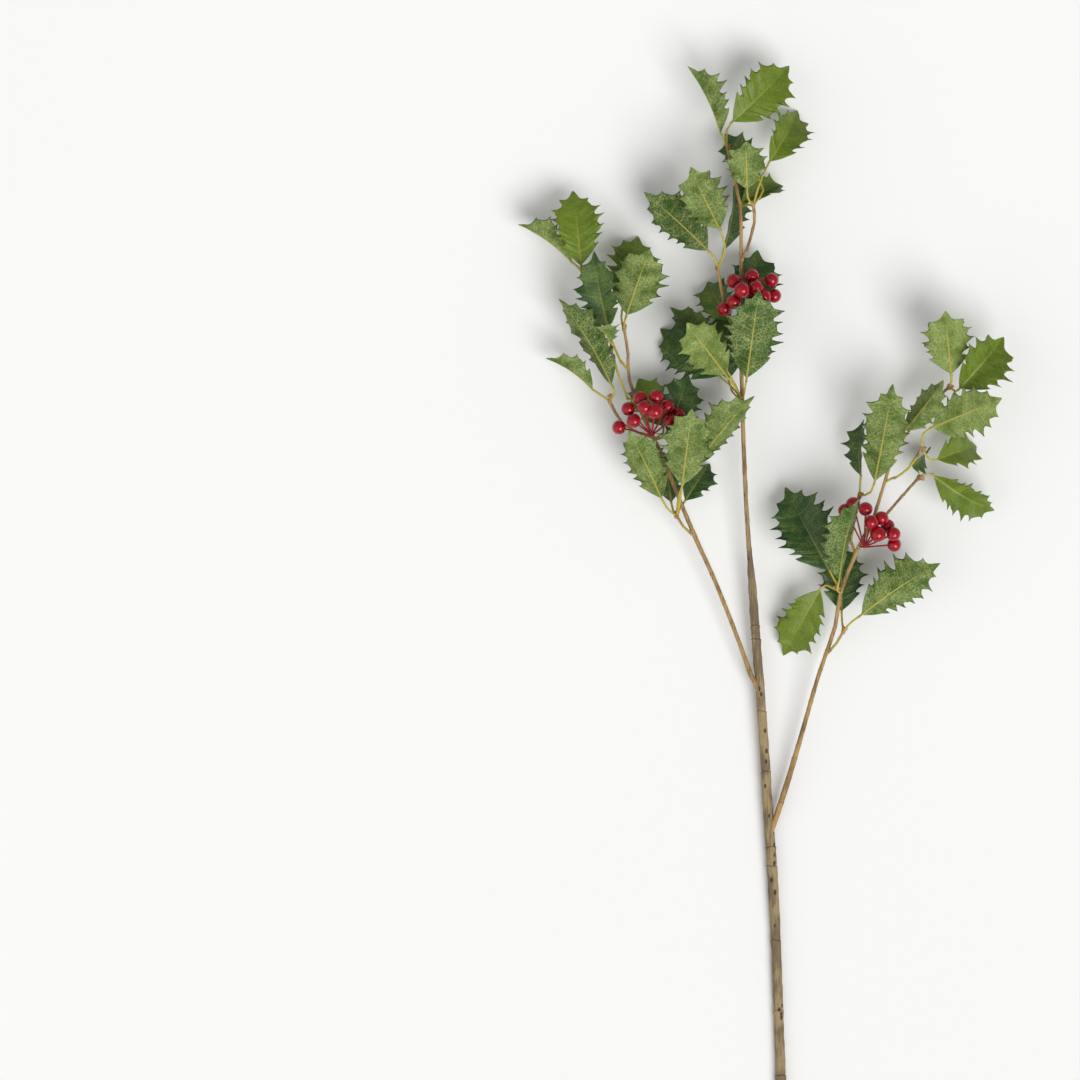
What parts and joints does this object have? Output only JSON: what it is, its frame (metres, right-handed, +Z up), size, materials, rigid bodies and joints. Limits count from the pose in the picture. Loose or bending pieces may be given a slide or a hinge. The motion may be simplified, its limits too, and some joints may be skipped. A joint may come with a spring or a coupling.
{
  "type": "holly sprig",
  "caption": "Cut holly sprig lying down: a woody stem with two side branches, spiny two-tone green leaves in whorls and clusters of glossy red berries.",
  "frame": {"origin": "on the surface it lies on, under the middle of the sprig's box", "axes": "+Y from the cut end to the growing tip, +Z up out of the surface, +X to the right when the tip points away"},
  "size_m": [0.3749, 0.8028, 0.078],
  "materials": {
    "stem_bark": "matte",
    "twig_bark": "matte",
    "leaf_green": "satin",
    "berry_red": "gloss"
  },
  "bodies": {
    "root": {"berries_centre": "berry_red", "berries_left": "berry_red", "berries_right": "berry_red", "leaf_centre_1": "leaf_green", "leaf_centre_2": "leaf_green", "leaf_centre_3": "leaf_green", "leaf_centre_4": "leaf_green", "leaf_centre_5": "leaf_green", "leaf_centre_berry_1": "leaf_green", "leaf_centre_berry_2": "leaf_green", "leaf_left_berry_1": "leaf_green", "leaf_left_berry_2": "leaf_green", "leaf_left_crown_1": "leaf_green", "leaf_left_crown_2": "leaf_green", "leaf_left_inner_1": "leaf_green", "leaf_left_inner_2": "leaf_green", "leaf_left_low_1": "leaf_green", "leaf_left_low_2": "leaf_green", "leaf_left_low_3": "leaf_green", "leaf_left_low_4": "leaf_green", "leaf_left_low_5": "leaf_green", "leaf_left_outer_1": "leaf_green", "leaf_left_outer_2": "leaf_green", "leaf_left_tip_1": "leaf_green", "leaf_left_tip_2": "leaf_green", "leaf_right_berry_1": "leaf_green", "leaf_right_berry_2": "leaf_green", "leaf_right_berry_3": "leaf_green", "leaf_right_crown_1": "leaf_green", "leaf_right_inner_1": "leaf_green", "leaf_right_inner_2": "leaf_green", "leaf_right_low_1": "leaf_green", "leaf_right_low_2": "leaf_green", "leaf_right_outer_1": "leaf_green", "leaf_right_outer_2": "leaf_green", "leaf_right_outer_3": "leaf_green", "leaf_right_side_1": "leaf_green", "leaf_right_tip_1": "leaf_green", "leaf_right_tip_2": "leaf_green", "leaf_tip_1": "leaf_green", "leaf_tip_2": "leaf_green", "leaf_tip_left_1": "leaf_green", "leaf_tip_left_2": "leaf_green", "leaf_tip_left_3": "leaf_green", "leaf_tip_right_1": "leaf_green", "leaf_tip_right_2": "leaf_green", "leaf_tip_right_3": "leaf_green", "leaf_tip_right_4": "leaf_green", "left_branch": "twig_bark", "main_stem": "stem_bark", "right_branch": "twig_bark", "twig_left_inner": "twig_bark", "twig_left_outer": "twig_bark", "twig_left_top": "twig_bark", "twig_right_inner": "twig_bark", "twig_right_outer": "twig_bark", "twig_right_side": "twig_bark", "twig_tip_left": "twig_bark", "twig_tip_right": "twig_bark"}
  },
  "joints": []
}
